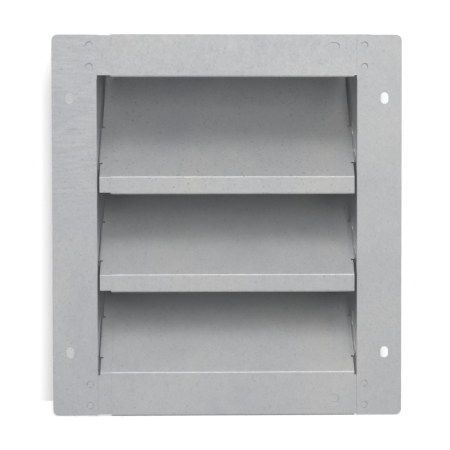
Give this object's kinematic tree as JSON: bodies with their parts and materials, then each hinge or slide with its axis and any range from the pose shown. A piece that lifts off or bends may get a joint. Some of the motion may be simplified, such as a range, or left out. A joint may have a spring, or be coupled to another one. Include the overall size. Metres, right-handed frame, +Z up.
{
  "type": "adjustable louver",
  "caption": "Galvanised sheet steel wall louver of adjustable width: two telescoping halves with screw slotted stiles, a head strip, a sill and fixed sloping blades between deep jambs.",
  "frame": {"origin": "midway between the two screw slots of the left stile, on the face of its flange that meets the wall", "axes": "+X across the louver from the left half to the right half, +Y into the wall, +Z up"},
  "size_m": [0.326, 0.0781, 0.356],
  "materials": {
    "galvanised_left": "galvanised, satin, bluish grey with fine streaks",
    "galvanised_right": "galvanised, satin, neutral grey with fine grain"
  },
  "bodies": {
    "left_half": {"left_stile": "galvanised_left", "left_head_strip": "galvanised_left", "left_sill_blade": "galvanised_left", "left_upper_blade": "galvanised_left", "left_middle_blade": "galvanised_left"},
    "right_half": {"right_stile": "galvanised_right", "right_head_strip": "galvanised_right", "right_sill_blade": "galvanised_right", "right_upper_blade": "galvanised_right", "right_middle_blade": "galvanised_right"}
  },
  "joints": [
    {"name": "width_slide", "type": "slide", "parent": "left_half", "child": "right_half", "axis": [1, 0, 0], "range_m": [-0.0095, 0.155]}
  ]
}
